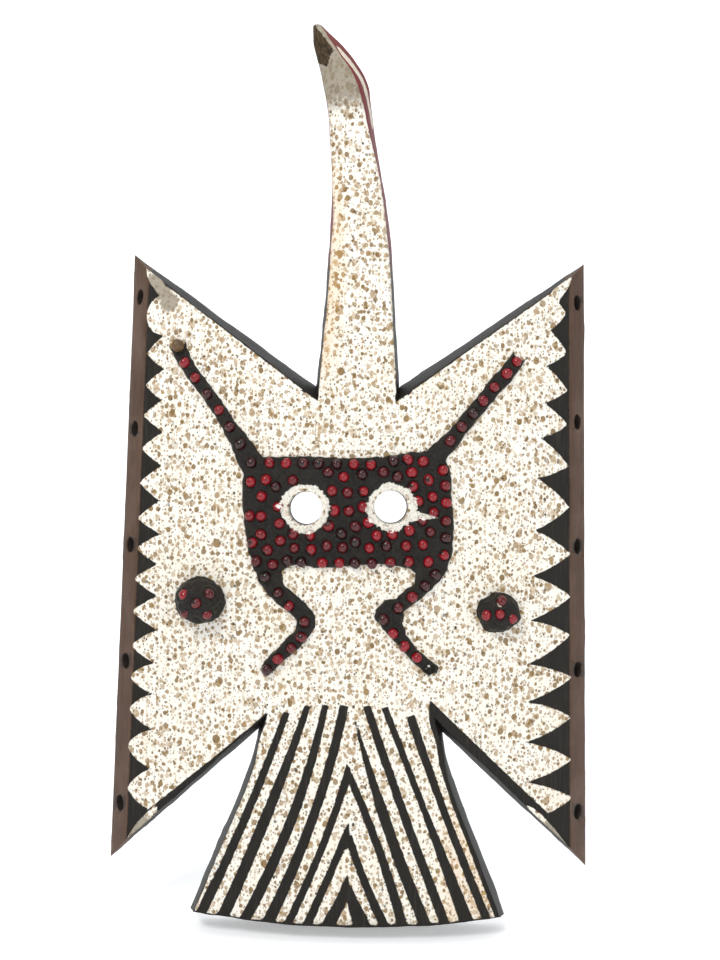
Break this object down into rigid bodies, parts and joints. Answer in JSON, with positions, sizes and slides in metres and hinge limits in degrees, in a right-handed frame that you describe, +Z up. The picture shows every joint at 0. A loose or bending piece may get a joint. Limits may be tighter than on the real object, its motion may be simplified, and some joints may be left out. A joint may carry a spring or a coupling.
{
  "type": "carved wooden mask",
  "caption": "Winged plank mask with a flared striped tail, a long curved beaked neck and a black wax figure set with red seeds.",
  "frame": {"origin": "on the flat back, on the centre line where the neck grows out of the board", "axes": "+Z up the mask towards the beak, -Y out of the front, +X to the viewer's right"},
  "size_m": [0.3572, 0.0669, 0.6379],
  "materials": {
    "painted_wood": "white earth paint spotted with ochre over wood, black border and stripes, bare brown side strips, worn",
    "black_wax": "dark hand-pressed wax, bumpy, dull",
    "red_seed": "polished crimson seeds",
    "bare_seed": "worn brown seed"
  },
  "bodies": {
    "root": {"mask_board": "painted_wood", "face_panel_wax": "black_wax", "left_arm_wax": "black_wax", "right_arm_wax": "black_wax", "left_leg_wax": "black_wax", "right_leg_wax": "black_wax", "left_boss_wax": "black_wax", "right_boss_wax": "black_wax", "panel_seeds_row_1": "red_seed", "panel_seeds_row_2": "red_seed", "panel_seeds_row_3": "red_seed", "panel_seeds_row_4": "red_seed", "panel_seeds_row_5": "red_seed", "panel_seeds_row_6": "red_seed", "panel_seeds_row_7": "red_seed", "left_arm_seeds": "red_seed", "right_arm_seeds": "red_seed", "left_leg_seeds": "red_seed", "right_leg_seeds": "red_seed", "left_boss_seeds": "red_seed", "right_boss_seeds": "red_seed", "bare_end_seed": "bare_seed"}
  },
  "joints": []
}
